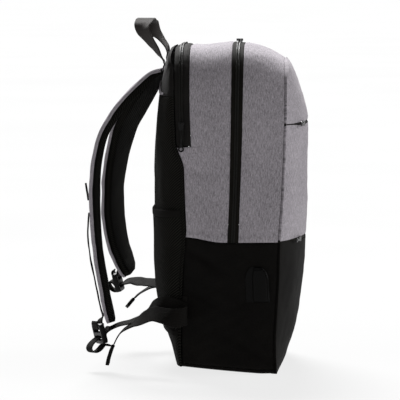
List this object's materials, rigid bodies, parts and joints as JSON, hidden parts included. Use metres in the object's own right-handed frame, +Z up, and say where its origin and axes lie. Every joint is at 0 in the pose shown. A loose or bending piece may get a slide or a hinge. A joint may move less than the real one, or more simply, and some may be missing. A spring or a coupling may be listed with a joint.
{
  "type": "laptop backpack",
  "caption": "Upright two-tone laptop backpack with padded back, trolley sleeve, shoulder straps with ladder buckles, grab handle, side charging port cover and zipped compartments.",
  "frame": {"origin": "middle of the underside, on the floor", "axes": "+Z up, -Y towards the front of the bag, +Y towards the wearer's back, X across the bag"},
  "size_m": [0.3364, 0.2981, 0.4689],
  "materials": {
    "grey_cloth": "heather grey woven polyester",
    "black_cloth": "matt black woven polyester",
    "zip_tape": "black zip tape and nylon coil",
    "mesh_padding": "black spacer mesh over foam, diagonal ribs",
    "webbing": "black ribbed webbing",
    "buckle_plastic": "black moulded plastic",
    "port_rubber": "matt black rubber",
    "zip_metal": "dark lacquered metal"
  },
  "bodies": {
    "root": {"front_panel_upper": "grey_cloth", "front_pocket_panel": "grey_cloth", "front_gusset": "grey_cloth", "rear_gusset": "grey_cloth", "strap_cover_left": "grey_cloth", "strap_cover_right": "grey_cloth", "strap_root_left": "grey_cloth", "strap_root_right": "grey_cloth", "front_base_panel": "black_cloth", "side_panel_left": "black_cloth", "side_panel_right": "black_cloth", "base_panel": "black_cloth", "laptop_zip_band": "black_cloth", "back_yoke": "black_cloth", "strap_tab_left": "black_cloth", "strap_tab_right": "black_cloth", "main_zip_tape": "zip_tape", "pocket_zip_tape": "zip_tape", "base_zip_tape": "zip_tape", "main_zip_coil": "zip_tape", "laptop_zip_coil": "zip_tape", "back_pad": "mesh_padding", "trolley_sleeve": "mesh_padding", "strap_pad_left": "mesh_padding", "strap_pad_right": "mesh_padding", "sleeve_top_hem": "webbing", "sleeve_bottom_hem": "webbing", "handle": "webbing", "strap_webbing_left": "webbing", "strap_webbing_right": "webbing", "lower_webbing_left": "webbing", "lower_webbing_right": "webbing", "webbing_end_left": "webbing", "webbing_end_right": "webbing", "webbing_anchor_left": "webbing", "webbing_anchor_right": "webbing", "ladder_buckle_left": "buckle_plastic", "ladder_buckle_right": "buckle_plastic", "usb_cover": "port_rubber", "main_zip_slider": "zip_metal", "main_zip_puller": "zip_metal", "laptop_zip_slider": "zip_metal", "laptop_zip_puller": "zip_metal", "pocket_zip_slider": "zip_metal", "pocket_zip_puller": "zip_metal", "base_zip_slider": "zip_metal", "base_zip_puller": "zip_metal"}
  },
  "joints": []
}
